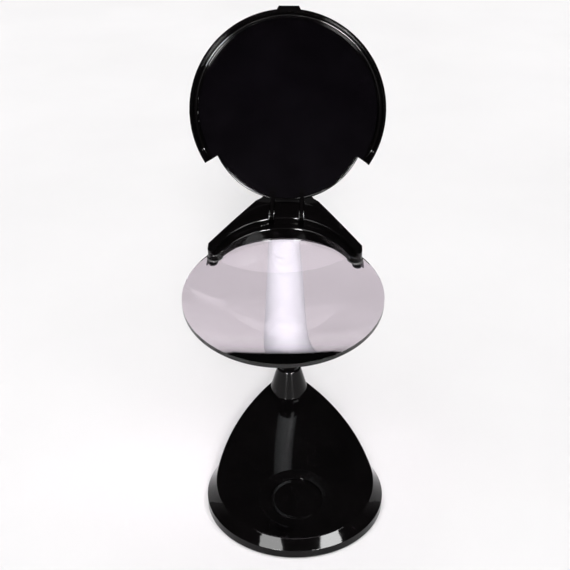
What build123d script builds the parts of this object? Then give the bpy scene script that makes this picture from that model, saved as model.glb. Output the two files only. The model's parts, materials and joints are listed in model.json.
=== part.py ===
"""Desk magnifier: a wedge base, a gooseneck, a clear lens in a fin-shaped bracket and a hinged lid.

Units are millimetres. The origin is on the resting plane, under the centre of the base's round
front. +Z is up, +Y is towards the neck at the rear, and +X is to the right.
"""
from build123d import *
from math import atan2, cos, degrees, radians, sin, sqrt, tan
import os

# ---- base: a teardrop of arcs with a sloping top ----
BASE_FRONT_R = 61.0          # round front of the foot print
NOSE_R = 17.0                # round tip under the neck
NOSE_Y = 88.0                # centre of the round tip
FLANK_R = 400.0              # shallow curve between front and tip
TOP_FRONT_R = 54.3           # the flat top is smaller at the front, which leaves a bevel
TOP_NOSE_R = 16.6
TOP_FLANK_R = 180.0
TOP_EDGE_ROUND = 1.2
SKIRT_LOW = 1.0              # lower edge of the casing's skirt
SKIRT_HIGH = 6.5             # where the bevel starts
TOP_EDGE_Z = 9.55            # height of the top plane at the front
TOP_SLOPE = 8.0              # degrees, rising to the rear
WALL = 2.5
COVER_LOW = 1.2              # bottom cover, lower face
COVER_HIGH = 3.2             # bottom cover, upper face
COVER_INSET = 2.7
FOOT_R = 5.0
FEET = [(0, 0), (-38, -30), (38, -30), (-20, 71), (20, 71)]
COVER_SCREWS = [(-46, 4), (46, 4), (-30, -44), (30, -44), (-11, 76), (11, 76)]
POST_R = 3.4

# ---- push button, its board and the battery bay ----
BUTTON_Y = -19.0
BUTTON_R = 17.7
BUTTON_GAP = 0.3
BUTTON_FLANGE_R = 19.4
BUTTON_TRAVEL = 1.5
DISH_R = 25.5
DISH_DEPTH = 1.6
CELL_R = 7.2
CELL_LENGTH = 50.0
CELL_PITCH = 15.2
CELL_MIDDLE_Y = 41.0
CELL_Z = 10.75
DOOR = (59.0, 47.0)          # battery door, across and along

# ---- neck ----
NECK_Y = 89.0
BOOT_R = 14.6
BOOT_TOP_R = 8.8
BOOT_HEIGHT = 20.0
FERRULE_R = 8.0
FERRULE_HEIGHT = 8.0
COLLAR_R = 8.6
TUBE_R = 7.0
TUBE_BORE_R = 2.6
WIRE_R = 1.1
BALL_GAP = 0.25
CUP_START = 2.6              # a cup's rim stands this far past the middle of the ball
HEAD_YAW = -4.5              # degrees, the neck is turned a little to the left

# ---- head: made flat about the lens centre, then tilted and lifted ----
HEAD_TILT = 10.59
HEAD_Y = -30.0
HEAD_Z = 180.2
LENS_R = 60.0
LENS_EDGE = 3.0
LENS_BULGE = 7.5             # the upper face's rise
LENS_UNDER = 4.9             # the lower face's
LENS_GAP = 0.15
LENS_SCREW = (43.0, 31.0)
LENS_SCREW_R = 1.5
ARCH_R = 45.0                # lower step of the bracket's front
ARCH_Y = 7.2
STEP_R = 46.5                # upper step
STEP_Y = 10.9
STEP_Z = 11.2                # top of the lower step
CROWN_Z = 15.6               # top of the upper step
ARM_CURVE = 245.0            # the bracket's top falls away towards the arms on this radius
LOWER_CURVE = 300.0          # the same for the lower step
REAR_SLOPE_Y = 72.0          # behind this the bracket's top slopes down
REAR_END_Y = 128.0
REAR_DROP = 14.0
FIN_SCREWS = [(-14.5, 79), (14.5, 79), (0, 86)]
WASHER_TOP = 4.3             # top of the soft washers under the bracket's arms
SOCKET_Y = 100.0             # where the neck enters the bracket
SOCKET_R = 14.0
SPLIT_Z = -2.0               # joint plane of the bracket and its cover
PLATE_Z = -5.5               # underside of the cover
PLATE_ARCH_R = 55.0          # the cover keeps clear of the view through the lens
HINGE_Y = 66.0
HINGE_Z = 11.0
PIN_R = 1.5
EAR_X = 9.4
EAR_T = 2.4
EAR_R = 3.6
SLOT_W = 3.2
SLOT_FRONT = 52.4            # the slots for the ears run from here
SLOT_REAR = 82.0

# ---- lid, drawn closed over the lens ----
LID_OPEN = 119.7             # degrees between closed and the open stop
LID_R = 60.8
LID_TOP_R = 59.0
LID_WALL = 1.3
LID_RIM_Z = 2.2
LID_PLATE_Z = 17.0
LID_TOP_Z = 19.0
LID_NOTCH = 57.0             # degrees each side of the hinge where the rim is cut away
LOBE_R = 49.9                # the plate is narrower where the rim is cut away
LOBE_Y = 7.1
PANEL_R = 56.5
PANEL_T = 0.4
BEAD_R = 57.3                # round bead that frames the panel
BEAD_T = 0.7
TAB = [(-8, 59.6), (-6.2, 62.9), (6.2, 62.9), (8, 59.6)]  # thumb tab, x and reach
TAB_LOW = 6.5
TAB_HIGH = 10.0

os.makedirs("parts", exist_ok=True)


def top_z(y):
    """Height of the base's sloping top at y."""
    return TOP_EDGE_Z + tan(radians(TOP_SLOPE)) * (y + BASE_FRONT_R)


top_plane = Plane(
    origin=(0, BUTTON_Y, top_z(BUTTON_Y)),
    x_dir=(1, 0, 0),
    z_dir=(0, -sin(radians(TOP_SLOPE)), cos(radians(TOP_SLOPE))),
)
BOOT_Z = top_z(NECK_Y)
BOOT_END_Z = BOOT_Z + BOOT_HEIGHT
FERRULE_END_Z = BOOT_END_Z + FERRULE_HEIGHT

turn = Location((0, NECK_Y, 0), (0, 0, HEAD_YAW)) * Location((0, -NECK_Y, 0))
head_place = turn * Location((0, HEAD_Y, HEAD_Z), (HEAD_TILT, 0, 0))
hinge_swing = Location((0, HINGE_Y, HINGE_Z), (-LID_OPEN, 0, 0)) * Location((0, -HINGE_Y, -HINGE_Z))
lid_place = head_place * hinge_swing

# the neck's upper run is a straight line square to the lens, through the bracket's socket;
# it meets the vertical lower run at the first pivot
lean = radians(HEAD_TILT)
PIVOT_TOP_Z = PLATE_Z - 8.5
top_pivot = Vector(
    0,
    HEAD_Y + SOCKET_Y * cos(lean) - PIVOT_TOP_Z * sin(lean),
    HEAD_Z + SOCKET_Y * sin(lean) + PIVOT_TOP_Z * cos(lean),
)
run = (NECK_Y - top_pivot.Y) / sin(lean)
neck_axis = Vector(0, -sin(lean), cos(lean))
low_pivot = top_pivot - neck_axis * run
mid_pivot = top_pivot - neck_axis * (run / 2)


def save(block, label, place=Location()):
    """Labels the finished piece and writes it where it belongs."""
    piece = block.part.moved(place)
    piece.label = label
    export_step(piece, f"parts/{label}.step")


def teardrop(front_r, nose_r, flank_r, inset):
    """Closed outline of four tangent arcs, offset inwards by inset."""
    lead = (front_r - nose_r) * (2 * flank_r - front_r - nose_r)
    flank_y = (NOSE_Y**2 - lead) / (2 * NOSE_Y)
    flank_x = sqrt((flank_r - front_r) ** 2 - flank_y**2)
    low = degrees(atan2(-flank_y, flank_x))
    high = degrees(atan2(NOSE_Y - flank_y, flank_x))
    with BuildLine() as outline:
        CenterArc((0, 0), front_r - inset, 180 - low, 180 + 2 * low)
        CenterArc((-flank_x, flank_y), flank_r - inset, low, high - low)
        CenterArc((0, NOSE_Y), nose_r - inset, high, 180 - 2 * high)
        CenterArc((flank_x, flank_y), flank_r - inset, 180 - high, high - low)
    return outline.wires()[0]


def base_volume(inset, drop, low_z):
    """The base's outer volume, or its hollow when inset and drop are the wall."""
    slope_plane = Plane(
        origin=(0, 0, top_z(0) - drop),
        x_dir=(1, 0, 0),
        z_dir=top_plane.z_dir,
    )
    skirt = teardrop(BASE_FRONT_R, NOSE_R, FLANK_R, inset)
    with BuildPart() as volume:
        with BuildSketch(Plane.XY.offset(low_z)):
            add(skirt)
            make_face()
        extrude(amount=SKIRT_HIGH - low_z)
        with BuildSketch(Plane.XY.offset(SKIRT_HIGH)):
            add(skirt)
            make_face()
        with BuildSketch(slope_plane):
            add(teardrop(TOP_FRONT_R, TOP_NOSE_R, TOP_FLANK_R, inset))
            make_face()
        loft(ruled=True)
        if inset == 0:
            fillet(volume.faces().sort_by(Axis.Z)[-1].edges(), TOP_EDGE_ROUND)
    return volume.part


def lens_profile(gap):
    """Half section of the lens, grown by gap."""
    half = LENS_EDGE / 2 + gap
    with BuildLine() as outline:
        ThreePointArc(
            (0, half + LENS_BULGE),
            (LENS_R / 2, half + LENS_BULGE * 0.75),
            (LENS_R + gap, half),
        )
        Line((LENS_R + gap, half), (LENS_R + gap, -half))
        ThreePointArc(
            (LENS_R + gap, -half),
            (LENS_R / 2, -half - LENS_UNDER * 0.75),
            (0, -half - LENS_UNDER),
        )
        Line((0, -half - LENS_UNDER), (0, half + LENS_BULGE))
    return outline.wires()[0]


def lens_solid(gap):
    with BuildPart() as solid:
        with BuildSketch(Plane.XZ):
            add(lens_profile(gap))
            make_face()
        revolve(axis=Axis.Z)
    return solid.part


def fin_plan():
    """Plan of the bracket: two arms, straight flanks and a round end over the neck."""
    arm_x = LENS_SCREW[0] + 4.3
    with BuildSketch() as plan:
        with BuildLine():
            Polyline(
                (arm_x, LENS_SCREW[1]),
                (arm_x, 36),
                (17, 82),
                (13.4, 94),
                (-13.4, 94),
                (-17, 82),
                (-arm_x, 36),
                (-arm_x, LENS_SCREW[1]),
                close=True,
            )
        make_face()
        with Locations((0, SOCKET_Y)):
            Circle(SOCKET_R)
        with Locations(LENS_SCREW, (-LENS_SCREW[0], LENS_SCREW[1])):
            Circle(4.3)
    return plan.sketch


# ============ base ============

hollow = base_volume(WALL, WALL, SKIRT_LOW)
outer = base_volume(0, 0, SKIRT_LOW)

with BuildPart() as base_casing:
    add(outer)
    add(hollow, mode=Mode.SUBTRACT)
    # ring that carries the button, and a level seat for the neck's nut
    with BuildSketch(top_plane.offset(-WALL - 1.6)):
        Circle(DISH_R + 1.5)
    extrude(amount=2.6)
    with BuildSketch(Plane.XY.offset(BOOT_Z - 6)):
        with Locations((0, NECK_Y - 1)):
            Circle(12.6)
    extrude(amount=5)
    # posts for the cover screws and for the board
    for x, y in COVER_SCREWS:
        with BuildSketch(Plane.XY.offset(COVER_HIGH)):
            with Locations((x, y)):
                Circle(POST_R)
        extrude(amount=top_z(y) - WALL - COVER_HIGH + 0.6)
    with BuildSketch(top_plane.offset(-9.2)):
        with Locations((-22.5, 0), (22.5, 0)):
            Circle(2.6)
    extrude(amount=6)
    # nothing inside reaches through the outer surface
    add(outer, mode=Mode.INTERSECT)
    # finger dish and the opening for the button
    dish_sphere = (DISH_R**2 + DISH_DEPTH**2) / (2 * DISH_DEPTH)
    with Locations(top_plane.offset(dish_sphere - DISH_DEPTH)):
        Sphere(dish_sphere, mode=Mode.SUBTRACT)
    with BuildSketch(top_plane.offset(-8)):
        Circle(BUTTON_R + BUTTON_GAP)
    extrude(amount=9, mode=Mode.SUBTRACT)
    with BuildSketch(top_plane.offset(-4.1)):
        Circle(BUTTON_FLANGE_R + BUTTON_GAP)
    extrude(amount=1.2, mode=Mode.SUBTRACT)
    # bore for the neck's stem and pilot holes
    with BuildSketch(Plane.XY.offset(BOOT_Z - 12)):
        with Locations((0, NECK_Y)):
            Circle(6.15)
    extrude(amount=20, mode=Mode.SUBTRACT)
    with BuildSketch(Plane.XY.offset(COVER_HIGH)):
        with Locations(*COVER_SCREWS):
            Circle(1.2)
    extrude(amount=7, mode=Mode.SUBTRACT)
    with BuildSketch(top_plane.offset(-9.2)):
        with Locations((-22.5, 0), (22.5, 0)):
            Circle(0.9)
    extrude(amount=5, mode=Mode.SUBTRACT)
save(base_casing, "base_casing")

DOOR_MIDDLE = (0, CELL_MIDDLE_Y)
with BuildPart() as base_cover:
    with BuildSketch(Plane.XY.offset(COVER_LOW)):
        add(teardrop(BASE_FRONT_R, NOSE_R, FLANK_R, COVER_INSET))
        make_face()
        with Locations(*COVER_SCREWS):
            Circle(1.7, mode=Mode.SUBTRACT)
        with Locations(DOOR_MIDDLE):
            RectangleRounded(*DOOR, 3, mode=Mode.SUBTRACT)
    extrude(amount=COVER_HIGH - COVER_LOW)
    # ledge behind the door for its screw
    with BuildSketch(Plane.XY.offset(COVER_HIGH)):
        with Locations((0, CELL_MIDDLE_Y - DOOR[1] / 2)):
            Rectangle(14, 5)
    extrude(amount=2)
    with BuildSketch(Plane.XY.offset(COVER_LOW)):
        with Locations((0, CELL_MIDDLE_Y - DOOR[1] / 2 - 0.2)):
            Circle(0.9, mode=Mode.ADD)
    extrude(amount=4, mode=Mode.SUBTRACT)
save(base_cover, "base_cover")

with BuildPart() as battery_door:
    with BuildSketch(Plane.XY.offset(COVER_LOW)):
        with Locations(DOOR_MIDDLE):
            RectangleRounded(DOOR[0] - 0.5, DOOR[1] - 0.5, 2.8)
        with Locations((0, CELL_MIDDLE_Y - DOOR[1] / 2 + 3)):
            Circle(1.3, mode=Mode.SUBTRACT)
    extrude(amount=COVER_HIGH - COVER_LOW)
    # finger ribs under the door
    with BuildSketch(Plane.XY.offset(COVER_LOW)):
        with Locations((0, CELL_MIDDLE_Y + 10)):
            with GridLocations(0, 3, 1, 5):
                RectangleRounded(20, 1.2, 0.5)
    extrude(amount=0.5, mode=Mode.SUBTRACT)
save(battery_door, "battery_door")


def pan_screw(points, low, head_r, head_h, shank_r, length):
    """Screws with the head below, driven upwards from z = low, as a group of solids."""
    with BuildPart() as screws:
        for x, y in points:
            with BuildSketch(Plane.XY.offset(low)):
                with Locations((x, y)):
                    Circle(head_r)
            extrude(amount=head_h)
            with BuildSketch(Plane.XY.offset(low + head_h)):
                with Locations((x, y)):
                    Circle(shank_r)
            extrude(amount=length)
            with BuildSketch(Plane.XY.offset(low)):
                with Locations((x, y)):
                    Rectangle(head_r * 1.2, 0.5)
                    Rectangle(0.5, head_r * 1.2)
            extrude(amount=head_h * 0.45, mode=Mode.SUBTRACT)
    return screws


save(pan_screw(COVER_SCREWS, 0.2, 2.6, 1.0, 1.1, 8.5), "cover_screws")
save(pan_screw([(0, CELL_MIDDLE_Y - DOOR[1] / 2 + 3)], 0.3, 2.2, 0.9, 0.85, 2.0), "door_screw")

with BuildPart() as rubber_feet:
    with BuildSketch():
        with Locations(*FEET):
            Circle(FOOT_R)
    extrude(amount=COVER_LOW)
save(rubber_feet, "rubber_feet")

with BuildPart() as ballast_plate:
    with BuildSketch(Plane.XY.offset(COVER_HIGH + 0.1)):
        Circle(50)
        with Locations((0, 21)):
            Rectangle(120, 118, mode=Mode.SUBTRACT)
        with Locations((-30, -44), (30, -44)):
            Circle(POST_R + 0.6, mode=Mode.SUBTRACT)
    extrude(amount=2.6)
save(ballast_plate, "ballast_plate")

# ---- batteries and their contacts ----
cell_rows = [CELL_MIDDLE_Y + CELL_PITCH * k for k in (-1, 0, 1)]
with BuildPart() as battery_cradle:
    with BuildSketch(Plane.XY.offset(COVER_HIGH + 0.2)):
        with Locations((-CELL_LENGTH / 2 - 4.6, CELL_MIDDLE_Y), (CELL_LENGTH / 2 + 4.6, CELL_MIDDLE_Y)):
            Rectangle(1.6, 44)
        with Locations((0, cell_rows[0] + CELL_PITCH / 2), (0, cell_rows[1] + CELL_PITCH / 2)):
            Rectangle(CELL_LENGTH + 8, 0.6)
    extrude(amount=7)
save(battery_cradle, "battery_cradle")

for name, row, way in zip(("front", "middle", "rear"), cell_rows, (1, -1, 1)):
    with BuildPart() as cell:
        with BuildSketch(Plane(origin=(-way * CELL_LENGTH / 2, row, CELL_Z), z_dir=(way, 0, 0))):
            Circle(CELL_R)
        extrude(amount=CELL_LENGTH - 1.2)
        fillet(cell.edges().filter_by(GeomType.CIRCLE), 0.6)
        with BuildSketch(Plane(origin=(way * (CELL_LENGTH / 2 - 1.2), row, CELL_Z), z_dir=(way, 0, 0))):
            Circle(2.7)
        extrude(amount=1.2)
    save(cell, f"battery_{name}")

with BuildPart() as battery_contacts:
    for row, way in zip(cell_rows, (1, -1, 1)):
        for side in (-1, 1):
            wall_x = side * (CELL_LENGTH / 2 + 3.3)
            with Locations((wall_x, row, CELL_Z)):
                Box(0.5, 9, 9)
        # a raised pad meets the positive cap
        pad_x = way * (CELL_LENGTH / 2 + 3.05)
        with BuildSketch(Plane(origin=(pad_x, row, CELL_Z), z_dir=(-way, 0, 0))):
            Circle(2.2)
        extrude(amount=2.9)
save(battery_contacts, "battery_contacts")

with BuildPart() as battery_springs:
    for row, way in zip(cell_rows, (1, -1, 1)):
        start = Plane(origin=(-way * (CELL_LENGTH / 2 + 2.55), row, CELL_Z), x_dir=(0, 1, 0), z_dir=(way, 0, 0))
        for k, radius in enumerate((3.2, 2.8, 2.4, 2.0)):
            with Locations(start.offset(0.28 + 0.6 * k)):
                Torus(radius, 0.3)
save(battery_springs, "battery_springs")

# ---- push button and its board ----
button_top = -1.55
with BuildPart() as power_button:
    with BuildSketch(top_plane.offset(-3.0)):
        Circle(BUTTON_R)
    extrude(amount=3.0 + button_top)
    fillet(power_button.faces().sort_by(Axis.Z)[-1].edges(), 0.5)
    with BuildSketch(top_plane.offset(-4.0)):
        Circle(BUTTON_FLANGE_R)
    extrude(amount=1.0)
    # shallow hollow for the fingertip and a plunger over the switch
    with Locations(top_plane.offset(button_top + 210 - 0.55)):
        Sphere(210, mode=Mode.SUBTRACT)
    with BuildSketch(top_plane.offset(-5.3)):
        Circle(2.4)
    extrude(amount=1.6)
    # raised bar and ring sign
    with BuildSketch(top_plane.offset(button_top - 0.8)):
        Circle(2.6)
        Circle(2.1, mode=Mode.SUBTRACT)
        with Locations((0, 2.4)):
            Rectangle(1.8, 2.2, mode=Mode.SUBTRACT)
    extrude(amount=0.6)
    with BuildSketch(top_plane.offset(button_top - 0.8)):
        with Locations((0, 2.3)):
            Rectangle(0.55, 2.6)
    extrude(amount=0.6)
save(power_button, "power_button")

with BuildPart() as circuit_board:
    with BuildSketch(top_plane.offset(-10.8)):
        RectangleRounded(52, 17, 1.5)
        with Locations((-22.5, 0), (22.5, 0)):
            Circle(1.2, mode=Mode.SUBTRACT)
    extrude(amount=1.5)
save(circuit_board, "circuit_board")

with BuildPart() as switch_body:
    with BuildSketch(top_plane.offset(-9.2)):
        RectangleRounded(6, 6, 0.5)
    extrude(amount=2.2)
save(switch_body, "switch_body")

with BuildPart() as board_parts:
    with BuildSketch(top_plane.offset(-9.25)):
        with Locations((-11, 2), (12, -2)):
            Rectangle(5, 4)
        with GridLocations(3.2, 9, 3, 2):
            Rectangle(1.6, 0.8)
    extrude(amount=1.2)
    with BuildSketch(top_plane.offset(-9.25)):
        with Locations((16.5, 4)):
            Circle(2.0)
    extrude(amount=3.0)
save(board_parts, "board_parts")

with BuildPart() as board_screws:
    with BuildSketch(top_plane.offset(-11.7)):
        with Locations((-22.5, 0), (22.5, 0)):
            Circle(2.0)
    extrude(amount=0.85)
    with BuildSketch(top_plane.offset(-10.9)):
        with Locations((-22.5, 0), (22.5, 0)):
            Circle(0.85)
    extrude(amount=5)
save(board_screws, "board_screws")

# ============ neck ============

with BuildPart() as neck_boot:
    with BuildSketch(Plane.YZ):
        with BuildLine():
            Polyline(
                (NECK_Y, BOOT_Z - 12),
                (NECK_Y + 6, BOOT_Z - 12),
                (NECK_Y + 6, BOOT_Z - 4),
                (NECK_Y + BOOT_R, BOOT_Z - 4),
                (NECK_Y + BOOT_R, BOOT_Z),
            )
            Line((NECK_Y + BOOT_R, BOOT_Z), (NECK_Y + BOOT_TOP_R, BOOT_END_Z))
            Polyline(
                (NECK_Y + BOOT_TOP_R, BOOT_END_Z),
                (NECK_Y, BOOT_END_Z),
                (NECK_Y, BOOT_Z - 12),
            )
        make_face()
    revolve(axis=Axis((0, NECK_Y, 0), (0, 0, 1)))
    # the flare sits on the sloping top; only the stem goes on down
    with BuildSketch(top_plane.offset(-40)):
        with Locations((0, (NECK_Y - BUTTON_Y) / cos(radians(TOP_SLOPE)))):
            Circle(60)
            Circle(5.0, mode=Mode.SUBTRACT)
    extrude(amount=40, mode=Mode.SUBTRACT)
    with BuildSketch(Plane.XY.offset(BOOT_Z - 13)):
        with Locations((0, NECK_Y)):
            Circle(6)
    extrude(amount=16)
    fillet(neck_boot.faces().sort_by(Axis.Z)[-1].edges(), 1.0)
    with BuildSketch(Plane.XY.offset(BOOT_Z - 14)):
        with Locations((0, NECK_Y)):
            Circle(TUBE_BORE_R)
    extrude(amount=60, mode=Mode.SUBTRACT)
    with BuildSketch(Plane.XY.offset(BOOT_END_Z - 12)):
        with Locations((0, NECK_Y)):
            Circle(5.0)
    extrude(amount=20, mode=Mode.SUBTRACT)
save(neck_boot, "neck_boot")

with BuildPart() as neck_nut:
    with BuildSketch(Plane.XY.offset(BOOT_Z - 11)):
        with Locations((0, NECK_Y)):
            RegularPolygon(9.6, 6)
            Circle(6.05, mode=Mode.SUBTRACT)
    extrude(amount=4.9)
save(neck_nut, "neck_nut")

with BuildPart() as neck_ferrule:
    with BuildSketch(Plane.XY.offset(BOOT_END_Z + 0.3)):
        with Locations((0, NECK_Y)):
            Circle(FERRULE_R)
    extrude(amount=FERRULE_HEIGHT - 0.3)
    fillet(neck_ferrule.faces().sort_by(Axis.Z)[-1].edges(), 0.8)
    fillet(neck_ferrule.faces().sort_by(Axis.Z)[0].edges(), 0.6)
    with BuildSketch(Plane.XY.offset(BOOT_END_Z - 11.5)):
        with Locations((0, NECK_Y)):
            Circle(4.95)
    extrude(amount=13)
    with BuildSketch(Plane.XY.offset(BOOT_END_Z - 12)):
        with Locations((0, NECK_Y)):
            Circle(TUBE_BORE_R)
    extrude(amount=40, mode=Mode.SUBTRACT)
save(neck_ferrule, "neck_ferrule", turn)


def link(start, end, domed, cupped, label):
    """One run of gooseneck: a bored tube with a ball at its far end and a cup at its near end."""
    way = (end - start).normalized()
    with BuildPart() as tube:
        begin = start + way * (CUP_START if cupped else 0)
        with BuildSketch(Plane(origin=begin, x_dir=(1, 0, 0), z_dir=way)):
            Circle(TUBE_R)
        extrude(amount=(end - begin).length)
        if domed:
            with Locations(end):
                Sphere(TUBE_R)
        if cupped:
            with Locations(start):
                Sphere(TUBE_R + BALL_GAP, mode=Mode.SUBTRACT)
        with BuildSketch(Plane(origin=start - way * 2, x_dir=(1, 0, 0), z_dir=way)):
            Circle(TUBE_BORE_R)
        extrude(amount=(end - start).length + 12, mode=Mode.SUBTRACT)
    save(tube, label, turn)
    with BuildPart() as wire:
        inset = start + way * (TUBE_R + 0.5 if cupped else 0)
        with BuildSketch(Plane(origin=inset, x_dir=(1, 0, 0), z_dir=way)):
            with Locations((-WIRE_R - 0.02, 0), (WIRE_R + 0.02, 0)):
                Circle(WIRE_R)
        extrude(amount=(end - inset).length - 0.5)
    save(wire, label.replace("gooseneck", "wire"), turn)


foot_start = Vector(0, NECK_Y, FERRULE_END_Z)
link(foot_start, low_pivot, True, False, "gooseneck_lower")
link(low_pivot, mid_pivot, True, True, "gooseneck_middle")
link(mid_pivot, top_pivot, True, True, "gooseneck_upper")

# ============ head ============

lens_void = lens_solid(LENS_GAP)
with BuildPart() as lens:
    add(lens_solid(0))
    with BuildSketch(Plane.XY.offset(-12)):
        with Locations(LENS_SCREW, (-LENS_SCREW[0], LENS_SCREW[1])):
            Circle(LENS_SCREW_R + 0.2)
    extrude(amount=24, mode=Mode.SUBTRACT)
save(lens, "lens", head_place)

with BuildPart() as lens_washers:
    with BuildSketch(Plane.XY.offset(1.5)):
        with Locations(LENS_SCREW, (-LENS_SCREW[0], LENS_SCREW[1])):
            Circle(5.0)
            Circle(LENS_SCREW_R + 0.1, mode=Mode.SUBTRACT)
    extrude(amount=WASHER_TOP - 1.5)
    add(lens_solid(0.02), mode=Mode.SUBTRACT)
save(lens_washers, "lens_washers", head_place)

with BuildPart() as upper_step:
    with BuildSketch(Plane.XY.offset(SPLIT_Z)):
        add(fin_plan())
        with Locations((0, STEP_Y)):
            Circle(STEP_R, mode=Mode.SUBTRACT)
    extrude(amount=CROWN_Z - SPLIT_Z)
    with Locations((0, 60, CROWN_Z - ARM_CURVE)):
        Cylinder(ARM_CURVE, 200, rotation=(90, 0, 0), mode=Mode.INTERSECT)
    # behind the hinge the top slopes down to the neck
    with BuildSketch(Plane.YZ.offset(-60)):
        with BuildLine():
            Polyline(
                (REAR_SLOPE_Y, CROWN_Z + 0.1),
                (REAR_END_Y, CROWN_Z + 0.1),
                (REAR_END_Y, CROWN_Z - REAR_DROP),
                close=True,
            )
        make_face()
    extrude(amount=120, mode=Mode.SUBTRACT)
    fillet(upper_step.faces().filter_by(GeomType.CYLINDER).sort_by(Axis.Z)[-1].edges(), 0.6)

with BuildPart() as lower_step:
    with BuildSketch(Plane.XY.offset(SPLIT_Z)):
        add(fin_plan())
        with Locations((0, ARCH_Y)):
            Circle(ARCH_R, mode=Mode.SUBTRACT)
        with Locations((0, 110)):
            Rectangle(120, 88, mode=Mode.SUBTRACT)
    extrude(amount=STEP_Z - SPLIT_Z)
    with Locations((0, 60, STEP_Z - LOWER_CURVE)):
        Cylinder(LOWER_CURVE, 200, rotation=(90, 0, 0), mode=Mode.INTERSECT)
    fillet(lower_step.faces().filter_by(GeomType.CYLINDER).sort_by(Axis.Z)[-1].edges(), 0.6)

with BuildPart() as bracket:
    add(upper_step.part)
    add(lower_step.part)
    # the lens and its washers
    add(lens_void, mode=Mode.SUBTRACT)
    with BuildSketch(Plane.XY.offset(SPLIT_Z - 1)):
        Circle(LENS_R + LENS_GAP)
    extrude(amount=1 - SPLIT_Z, mode=Mode.SUBTRACT)
    with BuildSketch(Plane.XY):
        with Locations(LENS_SCREW, (-LENS_SCREW[0], LENS_SCREW[1])):
            Circle(5.05)
    extrude(amount=WASHER_TOP + 0.03, mode=Mode.SUBTRACT)
    # pilot holes for the lens screws
    with BuildSketch(Plane.XY.offset(WASHER_TOP)):
        with Locations(LENS_SCREW, (-LENS_SCREW[0], LENS_SCREW[1])):
            Circle(LENS_SCREW_R - 0.2)
    extrude(amount=4.4, mode=Mode.SUBTRACT)
    # hollow behind the lens for the lamp board and its wires
    with BuildSketch(Plane.XY.offset(SPLIT_Z)):
        with BuildLine():
            Polyline(
                (-20.5, 63.5),
                (20.5, 63.5),
                (19, 74.2),
                (9.5, 86),
                (9.5, 93),
                (-9.5, 93),
                (-9.5, 86),
                (-19, 74.2),
                close=True,
            )
        make_face()
        with Locations((0, SOCKET_Y - 2)):
            Circle(9.5)
        with Locations(*FIN_SCREWS):
            Circle(3.0, mode=Mode.SUBTRACT)
    extrude(amount=7.2, mode=Mode.SUBTRACT)
    with BuildSketch(Plane.XY.offset(SPLIT_Z)):
        with Locations(*FIN_SCREWS):
            Circle(1.0)
    extrude(amount=6.5, mode=Mode.SUBTRACT)
    # slots for the lid's ears and the bore for the hinge pin
    slot_y = (SLOT_FRONT + SLOT_REAR) / 2
    with Locations((EAR_X, slot_y, HINGE_Z + 4), (-EAR_X, slot_y, HINGE_Z + 4)):
        Box(SLOT_W, SLOT_REAR - SLOT_FRONT, 16.4, mode=Mode.SUBTRACT)
    with Locations((0, HINGE_Y, HINGE_Z)):
        Cylinder(PIN_R + 0.02, 33.5, rotation=(0, 90, 0), mode=Mode.SUBTRACT)
save(bracket, "bracket", head_place)

with BuildPart() as bracket_cover:
    with BuildSketch(Plane.XY.offset(PLATE_Z)):
        add(fin_plan())
        Circle(PLATE_ARCH_R, mode=Mode.SUBTRACT)
        with Locations(*FIN_SCREWS):
            Circle(1.4, mode=Mode.SUBTRACT)
        with Locations(LENS_SCREW, (-LENS_SCREW[0], LENS_SCREW[1])):
            Circle(LENS_SCREW_R + 0.15, mode=Mode.SUBTRACT)
        with Locations((0, 69)):
            RectangleRounded(34, 7.4, 2, mode=Mode.SUBTRACT)
        with Locations((0, SOCKET_Y)):
            Circle(TUBE_BORE_R, mode=Mode.SUBTRACT)
    extrude(amount=SPLIT_Z - PLATE_Z - 0.05)
    add(lens_void, mode=Mode.SUBTRACT)
    # countersinks under the screw heads
    with BuildSketch(Plane.XY.offset(PLATE_Z)):
        with Locations(*FIN_SCREWS):
            Circle(2.6)
        with Locations(LENS_SCREW, (-LENS_SCREW[0], LENS_SCREW[1])):
            Circle(2.9)
    extrude(amount=1.0, mode=Mode.SUBTRACT)
save(bracket_cover, "bracket_cover", head_place)

save(pan_screw(FIN_SCREWS, PLATE_Z + 0.1, 2.3, 0.85, 0.95, 8.5), "bracket_screws", head_place)
lens_screw_points = [LENS_SCREW, (-LENS_SCREW[0], LENS_SCREW[1])]
save(pan_screw(lens_screw_points, PLATE_Z - 0.4, 2.7, 1.35, 1.25, 12.4), "lens_screws", head_place)

with BuildPart() as lamp_board:
    with BuildSketch(Plane.XY.offset(SPLIT_Z + 0.1)):
        with Locations((0, 69)):
            RectangleRounded(36, 9, 1)
    extrude(amount=1.2)
save(lamp_board, "lamp_board", head_place)

with BuildPart() as lamp_leds:
    for x in (-12, -4, 4, 12):
        with Locations((x, 69, SPLIT_Z - 0.75)):
            Box(3.2, 2.8, 1.6)
        with Locations((x, 69, SPLIT_Z - 1.5)):
            Sphere(1.0)
save(lamp_leds, "lamp_leds", head_place)

with BuildPart() as lamp_window:
    with BuildSketch(Plane.XY.offset(PLATE_Z + 0.1)):
        with Locations((0, 69)):
            RectangleRounded(33.8, 7.2, 1.9)
    extrude(amount=0.8)
save(lamp_window, "lamp_window", head_place)

with BuildPart() as neck_collar:
    with BuildSketch(Plane.XY.offset(PIVOT_TOP_Z + CUP_START)):
        with Locations((0, SOCKET_Y)):
            Circle(COLLAR_R)
    extrude(amount=PLATE_Z - PIVOT_TOP_Z - CUP_START - 0.05)
    fillet(neck_collar.faces().sort_by(Axis.Z)[0].edges(), 0.6)
    with Locations((0, SOCKET_Y, PIVOT_TOP_Z)):
        Sphere(TUBE_R + BALL_GAP, mode=Mode.SUBTRACT)
    with BuildSketch(Plane.XY.offset(PIVOT_TOP_Z)):
        with Locations((0, SOCKET_Y)):
            Circle(TUBE_BORE_R)
    extrude(amount=20, mode=Mode.SUBTRACT)
save(neck_collar, "neck_collar", head_place)

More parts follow.
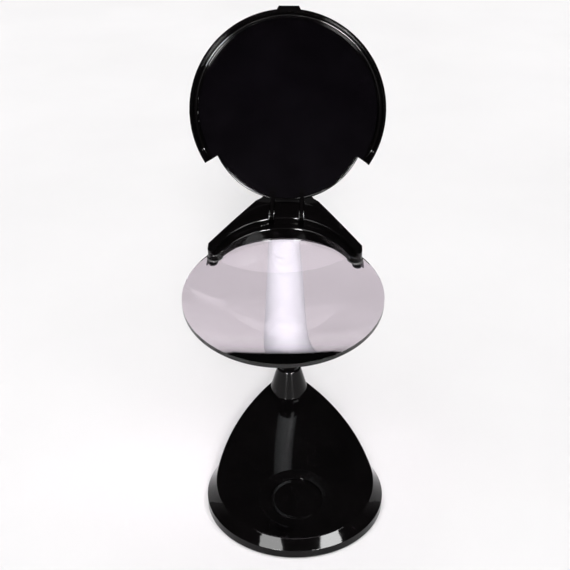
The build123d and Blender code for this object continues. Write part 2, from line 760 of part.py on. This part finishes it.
with BuildPart() as hinge_pin:
    with Locations((0, HINGE_Y, HINGE_Z)):
        Cylinder(PIN_R, 33, rotation=(0, 90, 0))
save(hinge_pin, "hinge_pin", head_place)

with BuildPart() as hinge_washers:
    for side in (-1, 1):
        for face in (-1, 1):
            with Locations((side * EAR_X + face * (EAR_T / 2 + 0.2), HINGE_Y, HINGE_Z)):
                Cylinder(3.0, 0.3, rotation=(0, 90, 0))
    with Locations((0, HINGE_Y, HINGE_Z)):
        Cylinder(PIN_R + 0.03, 40, rotation=(0, 90, 0), mode=Mode.SUBTRACT)
save(hinge_washers, "hinge_washers", head_place)

# ============ lid ============

def lid_outline():
    """Plan of the lid's plate inside the notch: a narrower round lobe towards the hinge."""
    with BuildSketch() as plan:
        with Locations((0, LOBE_Y)):
            Circle(LOBE_R)
    return plan.sketch


def notch_wedge():
    """Wedge over the hinge side of the lid, where the rim is cut away."""
    reach = 90.0
    half = reach * tan(radians(LID_NOTCH))
    with BuildSketch() as plan:
        with BuildLine():
            Polyline((0, 0), (half, reach), (-half, reach), close=True)
        make_face()
    return plan.sketch


with BuildPart() as wedge:
    add(notch_wedge())
    extrude(amount=30)

# the bead follows the wall, and the lobe's edge where the rim is cut away
with BuildPart() as rim_bead:
    with Locations((0, 0, LID_PLATE_Z)):
        Torus(BEAD_R, BEAD_T)
    add(wedge.part, mode=Mode.SUBTRACT)
with BuildPart() as lobe_bead:
    with Locations((0, LOBE_Y, LID_PLATE_Z)):
        Torus(LOBE_R - BEAD_T - 0.1, BEAD_T)
    add(wedge.part, mode=Mode.INTERSECT)

with BuildPart() as lid_shell:
    with BuildSketch(Plane.XZ):
        with BuildLine():
            Polyline(
                (0, LID_PLATE_Z),
                (LID_TOP_R - LID_WALL, LID_PLATE_Z),
                (LID_R - LID_WALL, LID_RIM_Z),
                (LID_R, LID_RIM_Z),
                (LID_TOP_R + 0.2, LID_TOP_Z - 1.6),
            )
            ThreePointArc(
                (LID_TOP_R + 0.2, LID_TOP_Z - 1.6),
                (LID_TOP_R - 0.4, LID_TOP_Z - 0.5),
                (LID_TOP_R - 1.8, LID_TOP_Z),
            )
            Polyline((LID_TOP_R - 1.8, LID_TOP_Z), (0, LID_TOP_Z), (0, LID_PLATE_Z))
        make_face()
    revolve(axis=Axis.Z)
    # thumb tab opposite the hinge
    with BuildSketch(Plane.XY.offset(TAB_LOW)):
        with BuildLine():
            Polyline(*[(x, -reach) for x, reach in TAB], close=True)
        make_face()
    extrude(amount=TAB_HIGH - TAB_LOW)
    # the rim is cut away round the bracket, down to the plate's lobe
    with BuildSketch(Plane.XY):
        add(notch_wedge())
        add(lid_outline(), mode=Mode.SUBTRACT)
    extrude(amount=30, mode=Mode.SUBTRACT)
    add(rim_bead.part)
    add(lobe_bead.part)
    # two ears reach down to the hinge pin
    for side in (-1, 1):
        with BuildSketch(Plane.YZ.offset(side * EAR_X - EAR_T / 2)):
            with Locations((HINGE_Y, HINGE_Z)):
                Circle(EAR_R)
            with Locations((LOBE_Y + LOBE_R - 3.5, LID_TOP_Z - 0.9)):
                Rectangle(4, 1.8)
            make_hull()
        extrude(amount=EAR_T)
    with Locations((0, HINGE_Y, HINGE_Z)):
        Cylinder(PIN_R + 0.06, 40, rotation=(0, 90, 0), mode=Mode.SUBTRACT)
save(lid_shell, "lid_shell", lid_place)

with BuildPart() as lid_panel:
    with BuildSketch(Plane.XY.offset(LID_PLATE_Z - PANEL_T)):
        Circle(PANEL_R)
        add(notch_wedge(), mode=Mode.SUBTRACT)
        with Locations((0, LOBE_Y)):
            Circle(LOBE_R - 2 * BEAD_T - 0.2)
        with Locations((-EAR_X, LOBE_Y + LOBE_R), (EAR_X, LOBE_Y + LOBE_R)):
            Rectangle(EAR_T + 0.6, 16, mode=Mode.SUBTRACT)
    extrude(amount=PANEL_T - 0.02)
save(lid_panel, "lid_panel", lid_place)

hinge_point = (head_place * Location((0, HINGE_Y, HINGE_Z))).position
print("low pivot", (turn * Location(low_pivot)).position)
print("middle pivot", (turn * Location(mid_pivot)).position)
print("top pivot", (turn * Location(top_pivot)).position)
print("hinge", hinge_point)
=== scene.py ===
"""Looks for the desk magnifier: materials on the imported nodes, a sleeved neck hose and a
polished round inside the lid, then the floor, the light and the camera."""
import json
import math

import bmesh
import bpy
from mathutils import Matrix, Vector


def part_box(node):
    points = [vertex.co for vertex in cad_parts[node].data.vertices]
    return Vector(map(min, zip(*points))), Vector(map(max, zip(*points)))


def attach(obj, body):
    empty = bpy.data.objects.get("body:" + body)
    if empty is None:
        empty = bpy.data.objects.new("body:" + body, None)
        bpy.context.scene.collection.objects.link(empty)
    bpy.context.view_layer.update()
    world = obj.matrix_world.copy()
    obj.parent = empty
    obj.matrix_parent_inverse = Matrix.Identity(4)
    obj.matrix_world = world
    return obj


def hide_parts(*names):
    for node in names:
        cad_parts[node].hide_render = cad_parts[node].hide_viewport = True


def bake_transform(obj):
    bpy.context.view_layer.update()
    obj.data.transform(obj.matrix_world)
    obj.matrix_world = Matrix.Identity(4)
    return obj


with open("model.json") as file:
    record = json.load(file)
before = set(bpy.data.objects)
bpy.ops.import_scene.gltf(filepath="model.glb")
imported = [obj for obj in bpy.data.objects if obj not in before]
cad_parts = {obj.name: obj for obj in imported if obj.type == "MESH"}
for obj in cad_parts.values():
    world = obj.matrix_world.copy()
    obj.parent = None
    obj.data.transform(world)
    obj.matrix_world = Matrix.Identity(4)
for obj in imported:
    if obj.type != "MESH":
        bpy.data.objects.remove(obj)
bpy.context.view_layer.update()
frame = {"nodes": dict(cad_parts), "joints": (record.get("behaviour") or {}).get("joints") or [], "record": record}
nodes = frame["nodes"]
joints = {joint["name"]: joint for joint in frame["joints"]}
scene = bpy.context.scene

# ---------------------------------------------------------------- shader helpers
# Noise scales are in cycles per metre, bump distances and edge radii in metres.


def new_material(name):
    """A node material with one Principled shader; returns it with its tree and shader."""
    mat = bpy.data.materials.new(name)
    mat.use_nodes = True
    tree = mat.node_tree
    return mat, tree, tree.nodes["Principled BSDF"]


def add_node(tree, kind, **inputs):
    """Adds a node and sets the inputs named."""
    node = tree.nodes.new(kind)
    for key, value in inputs.items():
        node.inputs[key].default_value = value
    return node


def noise(tree, scale, detail=4.0, rough=0.55, stretch=(1, 1, 1)):
    """Noise in the object's own space, stretched along its axes."""
    coords = tree.nodes.new("ShaderNodeTexCoord")
    mapping = add_node(tree, "ShaderNodeMapping", Scale=stretch)
    tex = add_node(tree, "ShaderNodeTexNoise", Scale=scale, Detail=detail, Roughness=rough)
    tree.links.new(coords.outputs["Object"], mapping.inputs["Vector"])
    tree.links.new(mapping.outputs["Vector"], tex.inputs["Vector"])
    return tex.outputs["Fac"]


def spread(tree, source, low, high, start=0.3, end=0.7):
    """Maps the values start..end of a source to low..high."""
    node = tree.nodes.new("ShaderNodeMapRange")
    node.inputs["From Min"].default_value = start
    node.inputs["From Max"].default_value = end
    node.inputs["To Min"].default_value = low
    node.inputs["To Max"].default_value = high
    tree.links.new(source, node.inputs["Value"])
    return node.outputs["Result"]


def two_tone(tree, source, dark, light, start=0.35, end=0.65):
    """Goes from one colour to another as a source goes from start to end."""
    ramp = tree.nodes.new("ShaderNodeValToRGB")
    first, last = ramp.color_ramp.elements
    first.position, first.color = start, (*dark, 1)
    last.position, last.color = end, (*light, 1)
    tree.links.new(source, ramp.inputs["Fac"])
    return ramp.outputs["Color"]


def relief(tree, source, distance, strength, under=None):
    """Bump from a source, on top of another normal where one is given."""
    bump = add_node(tree, "ShaderNodeBump", Strength=strength, Distance=distance)
    tree.links.new(source, bump.inputs["Height"])
    if under is not None:
        tree.links.new(under, bump.inputs["Normal"])
    return bump.outputs["Normal"]


# ---------------------------------------------------------------- kinds of material

MOULD_TONE_SCALE = 38.0
SMUDGE_SCALE = 24.0
EDGE_ROUND = 0.0002
PLATING_SCALE = 160.0
MARK_SCALE = 900.0
MARK_DEPTH = 0.00002
ACRYLIC_IOR = 1.49
TRACK_DEPTH = 0.00004
CELL_BAND_X = (0.0120, 0.0122)


def moulded(name, dark, light, rough, grain, grain_depth, specular=0.5):
    """Moulded plastic or rubber: uneven tone, smudged gloss, fine grain and softened edges."""
    mat, tree, shader = new_material(name)
    tone = two_tone(tree, noise(tree, MOULD_TONE_SCALE), dark, light)
    tree.links.new(tone, shader.inputs["Base Color"])
    smudge = noise(tree, SMUDGE_SCALE, detail=6.0, rough=0.65)
    tree.links.new(spread(tree, smudge, *rough), shader.inputs["Roughness"])
    bevel = add_node(tree, "ShaderNodeBevel", Radius=EDGE_ROUND)
    bevel.samples = 4
    pores = noise(tree, grain, detail=3.0)
    fine = relief(tree, pores, grain_depth, 0.5, bevel.outputs["Normal"])
    tree.links.new(fine, shader.inputs["Normal"])
    shader.inputs["Specular IOR Level"].default_value = specular
    return mat


def metal(name, dark, light, rough, stretch):
    """Metal with drawn or turned marks along one direction and slightly uneven plating."""
    mat, tree, shader = new_material(name)
    tone = two_tone(tree, noise(tree, PLATING_SCALE), dark, light)
    tree.links.new(tone, shader.inputs["Base Color"])
    marks = noise(tree, MARK_SCALE, detail=2.0, stretch=stretch)
    tree.links.new(spread(tree, marks, *rough), shader.inputs["Roughness"])
    tree.links.new(relief(tree, marks, MARK_DEPTH, 0.4), shader.inputs["Normal"])
    shader.inputs["Metallic"].default_value = 1.0
    return mat


def lens_acrylic():
    """Polished acrylic with the faintest uneven polish, tinted pinkish grey: painted shade that darkens the floor
    seen through it.
    """
    mat, tree, shader = new_material("lens_clear")
    shader.inputs["IOR"].default_value = ACRYLIC_IOR
    shader.inputs["Transmission Weight"].default_value = 1.0
    # Pinkish-grey tint: painted shade, so the floor seen through the lens looks darker, as if it lay in the
    # object's shadow.
    tone = two_tone(tree, noise(tree, scale=14.0), (0.905, 0.820, 0.888), (0.940, 0.855, 0.925))
    tree.links.new(tone, shader.inputs["Base Color"])
    polish = spread(tree, noise(tree, scale=30.0), 0.0, 0.012)
    tree.links.new(polish, shader.inputs["Roughness"])
    return mat


def cell_film():
    """Shrink film on the cells: dark, with a copper-coloured part at one end, no lettering."""
    mat, tree, shader = new_material("cell_wrap")
    coords = tree.nodes.new("ShaderNodeTexCoord")
    split = tree.nodes.new("ShaderNodeSeparateXYZ")
    tree.links.new(coords.outputs["Object"], split.inputs["Vector"])
    band = spread(tree, split.outputs["X"], 0.0, 1.0, *CELL_BAND_X)
    tone = two_tone(tree, band, (0.02, 0.022, 0.03), (0.42, 0.21, 0.09), 0.49, 0.51)
    tree.links.new(tone, shader.inputs["Base Color"])
    scuffs = noise(tree, scale=200.0)
    tree.links.new(spread(tree, scuffs, 0.22, 0.34), shader.inputs["Roughness"])
    shader.inputs["Metallic"].default_value = 0.4
    return mat


def board_mask(name, dark, light, tracks):
    """Solder mask over copper tracks."""
    mat, tree, shader = new_material(name)
    coords = tree.nodes.new("ShaderNodeTexCoord")
    wave = add_node(tree, "ShaderNodeTexWave", Scale=tracks, Distortion=6.0, Detail=1.0)
    tree.links.new(coords.outputs["Object"], wave.inputs["Vector"])
    track = wave.outputs["Fac"]
    tree.links.new(two_tone(tree, track, dark, light), shader.inputs["Base Color"])
    tree.links.new(relief(tree, track, TRACK_DEPTH, 0.5), shader.inputs["Normal"])
    sheen = noise(tree, scale=300.0)
    tree.links.new(spread(tree, sheen, 0.28, 0.42), shader.inputs["Roughness"])
    return mat


# ---------------------------------------------------------------- the record's slots

POLISHED = 0.16

gloss_black = moulded(
    "gloss_black", (0.0012, 0.0010, 0.0011), (0.0020, 0.0017, 0.0018),
    rough=(0.035, 0.085), grain=420.0, grain_depth=0.000006, specular=POLISHED,
)
lid_gloss = moulded(
    "lid_gloss", (0.0012, 0.0009, 0.0014), (0.0019, 0.0015, 0.0022),
    rough=(0.03, 0.08), grain=260.0, grain_depth=0.000004, specular=POLISHED,
)
satin_black = moulded(
    "satin_black", (0.020, 0.020, 0.021), (0.032, 0.032, 0.034),
    rough=(0.42, 0.55), grain=2600.0, grain_depth=0.00006,
)
rubber_black = moulded(
    "rubber_black", (0.018, 0.018, 0.018), (0.034, 0.033, 0.032),
    rough=(0.68, 0.85), grain=1800.0, grain_depth=0.00005,
)
zinc_steel = metal(
    "zinc_steel", (0.50, 0.51, 0.54), (0.66, 0.66, 0.66),
    rough=(0.22, 0.40), stretch=(1, 1, 6),
)
black_steel = metal(
    "black_steel", (0.02, 0.02, 0.022), (0.05, 0.05, 0.052),
    rough=(0.25, 0.42), stretch=(1, 1, 4),
)
nickel = metal(
    "nickel", (0.56, 0.53, 0.47), (0.74, 0.71, 0.64),
    rough=(0.18, 0.32), stretch=(6, 1, 1),
)
neck_sleeve = moulded(
    "neck_sleeve", (0.76, 0.81, 0.825), (0.82, 0.87, 0.885),
    rough=(0.40, 0.52), grain=900.0, grain_depth=0.00003,
)
wire_pvc = moulded(
    "wire_pvc", (0.30, 0.02, 0.02), (0.40, 0.035, 0.03),
    rough=(0.35, 0.5), grain=900.0, grain_depth=0.00002,
)
board_green = board_mask(
    "board_green", (0.012, 0.10, 0.045), (0.03, 0.20, 0.09), tracks=420.0
)
board_white = board_mask(
    "board_white", (0.74, 0.74, 0.70), (0.86, 0.86, 0.83), tracks=380.0
)
led_epoxy = moulded(
    "led_epoxy", (0.78, 0.70, 0.36), (0.92, 0.88, 0.62),
    rough=(0.12, 0.22), grain=700.0, grain_depth=0.00001,
)
lens_clear = lens_acrylic()
cell_wrap = cell_film()

FINISH = {
    "gloss_black": gloss_black,
    "lid_gloss": lid_gloss,
    "satin_black": satin_black,
    "rubber_black": rubber_black,
    "zinc_steel": zinc_steel,
    "black_steel": black_steel,
    "nickel": nickel,
    "neck_metal": neck_sleeve,
    "wire_pvc": wire_pvc,
    "board_green": board_green,
    "board_white": board_white,
    "led_epoxy": led_epoxy,
    "lens_clear": lens_clear,
    "cell_wrap": cell_wrap,
}

for subpart in frame["record"]["subparts"]:
    node = nodes[subpart["node"]]
    node.data.materials.clear()
    node.data.materials.append(FINISH[subpart["material_slot"]])

# ---------------------------------------------------------------- pieces


def add_piece(name, data):
    """Puts a mesh or a camera in the scene as an object at the origin."""
    piece = bpy.data.objects.new(name, data)
    scene.collection.objects.link(piece)
    return piece


def closed_tube(name, rings, material):
    """A smooth tube through rings of points, closed at both ends."""
    mesh = bmesh.new()
    loops = [[mesh.verts.new(point) for point in ring] for ring in rings]
    for a, b in zip(loops, loops[1:]):
        for k in range(len(a)):
            n = (k + 1) % len(a)
            mesh.faces.new((a[k], a[n], b[n], b[k]))
    mesh.faces.new(loops[0][::-1])
    mesh.faces.new(loops[-1])
    bmesh.ops.recalc_face_normals(mesh, faces=mesh.faces)
    data = bpy.data.meshes.new(name)
    mesh.to_mesh(data)
    mesh.free()
    for face in data.polygons:
        face.use_smooth = True
    data.materials.append(material)
    return add_piece(name, data)


# ---------------------------------------------------------------- neck hose
# The sleeve follows the neck's line and bows a little to one side. It is cut halfway between
# the pivots, so each of its three lengths holds one of them.

HOSE_R = 0.0073
RIB_DEPTH = 0.00010
RIB_PITCH = 0.0024
RIB_STEPS = 6  # rings of points to a rib
HOSE_SIDES = 40
BOW = -0.0035  # how far the middle stands to the side, along X
BEND = 0.020  # length on each side of a pivot over which the hose bends
FOOT_TUCK = 0.001  # length hidden in the ferrule
HEAD_TUCK = 0.003  # length past the head's pivot, in the collar
FOOT_STEPS = 12
TURN_STEPS = 24
RUN_STEPS = 60

low, mid, top = (
    Vector(joints[name]["pos_m"]) for name in ("neck_bend_low", "neck_bend_high", "head_tilt")
)
up = (top - low).normalized()
foot = Vector((low.x, low.y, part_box("neck_ferrule")[1].z - FOOT_TUCK))


def centreline():
    """Points up the neck's middle: straight, rounded at the low pivot, straight, then bowed."""
    before = low - (low - foot).normalized() * BEND
    after = low + up * BEND
    end = top + up * HEAD_TUCK
    points = [foot.lerp(before, k / FOOT_STEPS) for k in range(FOOT_STEPS)]
    for k in range(TURN_STEPS):
        t = k / TURN_STEPS
        points.append(before.lerp(low, t).lerp(low.lerp(after, t), t))
    points += [after.lerp(end, k / RUN_STEPS) for k in range(RUN_STEPS + 1)]
    bowed = []
    for point in points:
        share = (point.z - foot.z) / (end.z - foot.z)
        bowed.append(point + Vector((BOW * math.sin(math.pi * share), 0, 0)))
    return bowed


def resample(points, step):
    """Points at equal distances along the line."""
    out = [points[0]]
    carry = 0.0
    for a, b in zip(points, points[1:]):
        length = (b - a).length
        place = step - carry
        while place <= length:
            out.append(a.lerp(b, place / length))
            place += step
        carry = (carry + length) % step
    return out


LINE = resample(centreline(), RIB_PITCH / RIB_STEPS)


def hose_piece(name, first, last):
    """A tube over LINE[first:last] whose radius rises and falls once for each faint rib."""
    rings = []
    for index in range(first, last):
        here = LINE[index]
        ahead = LINE[min(index + 1, len(LINE) - 1)]
        behind = LINE[max(index - 1, 0)]
        way = (ahead - behind).normalized()
        side = Vector((1, 0, 0)).cross(way).normalized()
        across = way.cross(side)
        phase = (index % RIB_STEPS) / RIB_STEPS
        radius = HOSE_R - RIB_DEPTH * (0.5 + 0.5 * math.cos(2 * math.pi * phase)) ** 2
        ring = []
        for k in range(HOSE_SIDES):
            angle = 2 * math.pi * k / HOSE_SIDES
            ring.append(here + (across * math.cos(angle) + side * math.sin(angle)) * radius)
        rings.append(ring)
    piece = closed_tube(name, rings, neck_sleeve)
    return piece


def index_near(point):
    """Which point of LINE is nearest."""
    return min(range(len(LINE)), key=lambda k: (LINE[k] - point).length)


cut_one = index_near((low + mid) / 2)
cut_two = index_near((mid + top) / 2)
lower_hose = hose_piece("neck_hose_lower", 0, cut_one + 1)
middle_hose = hose_piece("neck_hose_middle", cut_one, cut_two + 1)
upper_hose = hose_piece("neck_hose_upper", cut_two, len(LINE))
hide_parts("gooseneck_lower")
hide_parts("gooseneck_middle")
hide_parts("gooseneck_upper")
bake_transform(lower_hose)
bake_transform(middle_hose)
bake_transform(upper_hose)

# ---------------------------------------------------------------- lid cove
# A polished round runs along the inside of the lid's wall and ends at the notch over the hinge.

PANEL_R = 0.0565
COVE_R = 0.0580
COVE_RISE = 0.0055  # above the panel's face
COVE_ROUND = 0.0015
COVE_TALL = 1.6  # height over width of its section
COVE_REACH = math.radians(119)  # to each side of the lid's far end
COVE_STEPS = 160
COVE_SIDES = 20
END_TAPER = 0.25

hinge = Vector(joints["lid_fold"]["pos_m"])
hinge_axis = Vector(joints["lid_fold"]["axis"]).normalized()
panel = nodes["lid_panel"].data
widest = max(panel.polygons, key=lambda face: face.area * (face.normal.y < 0))
facing = widest.normal.copy()
away = hinge_axis.cross(facing).normalized()
if away.z < 0:
    away = -away
reach = max((vertex.co - hinge).dot(away) for vertex in panel.vertices)
depth = max((vertex.co - hinge).dot(facing) for vertex in panel.vertices)
lid_centre = hinge + away * (reach - PANEL_R) + facing * (depth + COVE_RISE)
cove_rings = []
for k in range(COVE_STEPS + 1):
    turn = COVE_REACH * (2 * k / COVE_STEPS - 1)
    outward = away * math.cos(turn) + hinge_axis * math.sin(turn)
    taper = min(1.0, END_TAPER * (1 + min(k, COVE_STEPS - k)))
    ring = []
    for n in range(COVE_SIDES):
        angle = 2 * math.pi * n / COVE_SIDES
        reach_out = COVE_R + COVE_ROUND * taper * math.cos(angle)
        lift = COVE_ROUND * COVE_TALL * taper * math.sin(angle)
        ring.append(lid_centre + outward * reach_out + facing * lift)
    cove_rings.append(ring)
cove = closed_tube("lid_cove", cove_rings, gloss_black)
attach(cove, "lid")

# ---------------------------------------------------------------- floor

FLOOR = 6.0

floor_mesh = bpy.data.meshes.new("floor")
corners = [(-FLOOR, -FLOOR, 0), (FLOOR, -FLOOR, 0), (FLOOR, FLOOR, 0), (-FLOOR, FLOOR, 0)]
floor_mesh.from_pydata(corners, [], [(0, 1, 2, 3)])
floor_mat, floor_tree, floor_shader = new_material("floor_pale")
floor_tone = two_tone(
    floor_tree, noise(floor_tree, scale=3.0), (0.775, 0.765, 0.770), (0.805, 0.795, 0.800)
)
floor_tree.links.new(floor_tone, floor_shader.inputs["Base Color"])
floor_shader.inputs["Roughness"].default_value = 0.9
floor_shader.inputs["Specular IOR Level"].default_value = 0.0
floor_mesh.materials.append(floor_mat)
floor = add_piece("floor", floor_mesh)

# ---------------------------------------------------------------- light

HORIZON_GLOW = 0.34
OVERHEAD_GLOW = 0.035
GLOW_TOP = 0.34  # height on the unit sphere where the glow has faded out

world = bpy.data.worlds.new("studio")
scene.world = world
world.use_nodes = True
sky = world.node_tree
background = sky.nodes["Background"]
background.inputs["Color"].default_value = (1.0, 0.97, 0.99, 1)
sky_coords = sky.nodes.new("ShaderNodeTexCoord")
sky_split = sky.nodes.new("ShaderNodeSeparateXYZ")
sky.links.new(sky_coords.outputs["Generated"], sky_split.inputs["Vector"])
glow = spread(sky, sky_split.outputs["Z"], HORIZON_GLOW, OVERHEAD_GLOW, 0.0, GLOW_TOP)
sky.links.new(glow, background.inputs["Strength"])


def add_lamp(name, data, behind):
    """Puts a light in the scene with its back to the direction given."""
    lamp = bpy.data.objects.new(name, data)
    lamp.rotation_euler = behind.to_track_quat("Z", "Y").to_euler()
    scene.collection.objects.link(lamp)
    return lamp


def sun(name, azimuth, elevation, strength, width):
    """A far soft light that isn't mirrored in the plastic; the angles are in degrees."""
    data = bpy.data.lights.new(name, "SUN")
    data.energy = strength
    data.angle = math.radians(width)
    a, e = math.radians(azimuth), math.radians(elevation)
    behind = Vector((math.sin(a) * math.cos(e), -math.cos(a) * math.cos(e), math.sin(e)))
    lamp = add_lamp(name, data, behind)
    lamp.visible_glossy = False
    return lamp


def softbox(name, place, target, width, height, power):
    """A rectangular studio light that is mirrored in the plastic but lights nothing matt."""
    data = bpy.data.lights.new(name, "AREA")
    data.shape = "RECTANGLE"
    data.size = width
    data.size_y = height
    data.energy = power
    lamp = add_lamp(name, data, Vector(place) - Vector(target))
    lamp.location = place
    lamp.visible_diffuse = False
    return lamp


sun("fill_front", azimuth=0, elevation=30, strength=1.9, width=14)
sun("fill_above", azimuth=0, elevation=78, strength=2.6, width=70)

# The two windows overhead show in the casing's front bevel, the two glints in the bracket.
WINDOW_Y, WINDOW_Z, WINDOW_LONG = -1.60, 3.60, 1.80
OFF_PLUMB = 0.001  # gives the aim a heading, so that the long side lies along Y
for name, x, width, power in (
    ("window_left", -1.15, 1.20, 150),
    ("window_right", 1.74, 1.32, 340),
):
    below = (x, WINDOW_Y + OFF_PLUMB, 0)
    softbox(name, (x, WINDOW_Y, WINDOW_Z), below, width, WINDOW_LONG, power)

GLINT_AIM = (0.0, 0.06, 0.27)
GLINT = {"width": 0.22, "height": 0.26, "power": 55}
glint_left = softbox("glint_left", (-0.46, -1.10, 0.17), GLINT_AIM, **GLINT)
glint_right = softbox("glint_right", (0.42, -1.10, 0.17), GLINT_AIM, **GLINT)
neck_fill = sun("neck_fill", azimuth=0, elevation=4, strength=2.0, width=6)
for lamp in (neck_fill, glint_left, glint_right):
    lamp.visible_transmission = False

# ---------------------------------------------------------------- camera

CAMERA_PLACE = (-0.03105, -0.5530, 0.47864)
CAMERA_TILT, CAMERA_TURN = 60.92, -2.5
SENSOR_MM, LENS_MM = 36.0, 64.14

camera_data = bpy.data.cameras.new("camera")
camera_data.sensor_width = SENSOR_MM
camera_data.lens = LENS_MM
camera_data.clip_end = 50.0
camera = add_piece("camera", camera_data)
camera.location = CAMERA_PLACE
camera.rotation_euler = (math.radians(CAMERA_TILT), 0, math.radians(CAMERA_TURN))
scene.camera = camera
scene.view_settings.view_transform = "Standard"
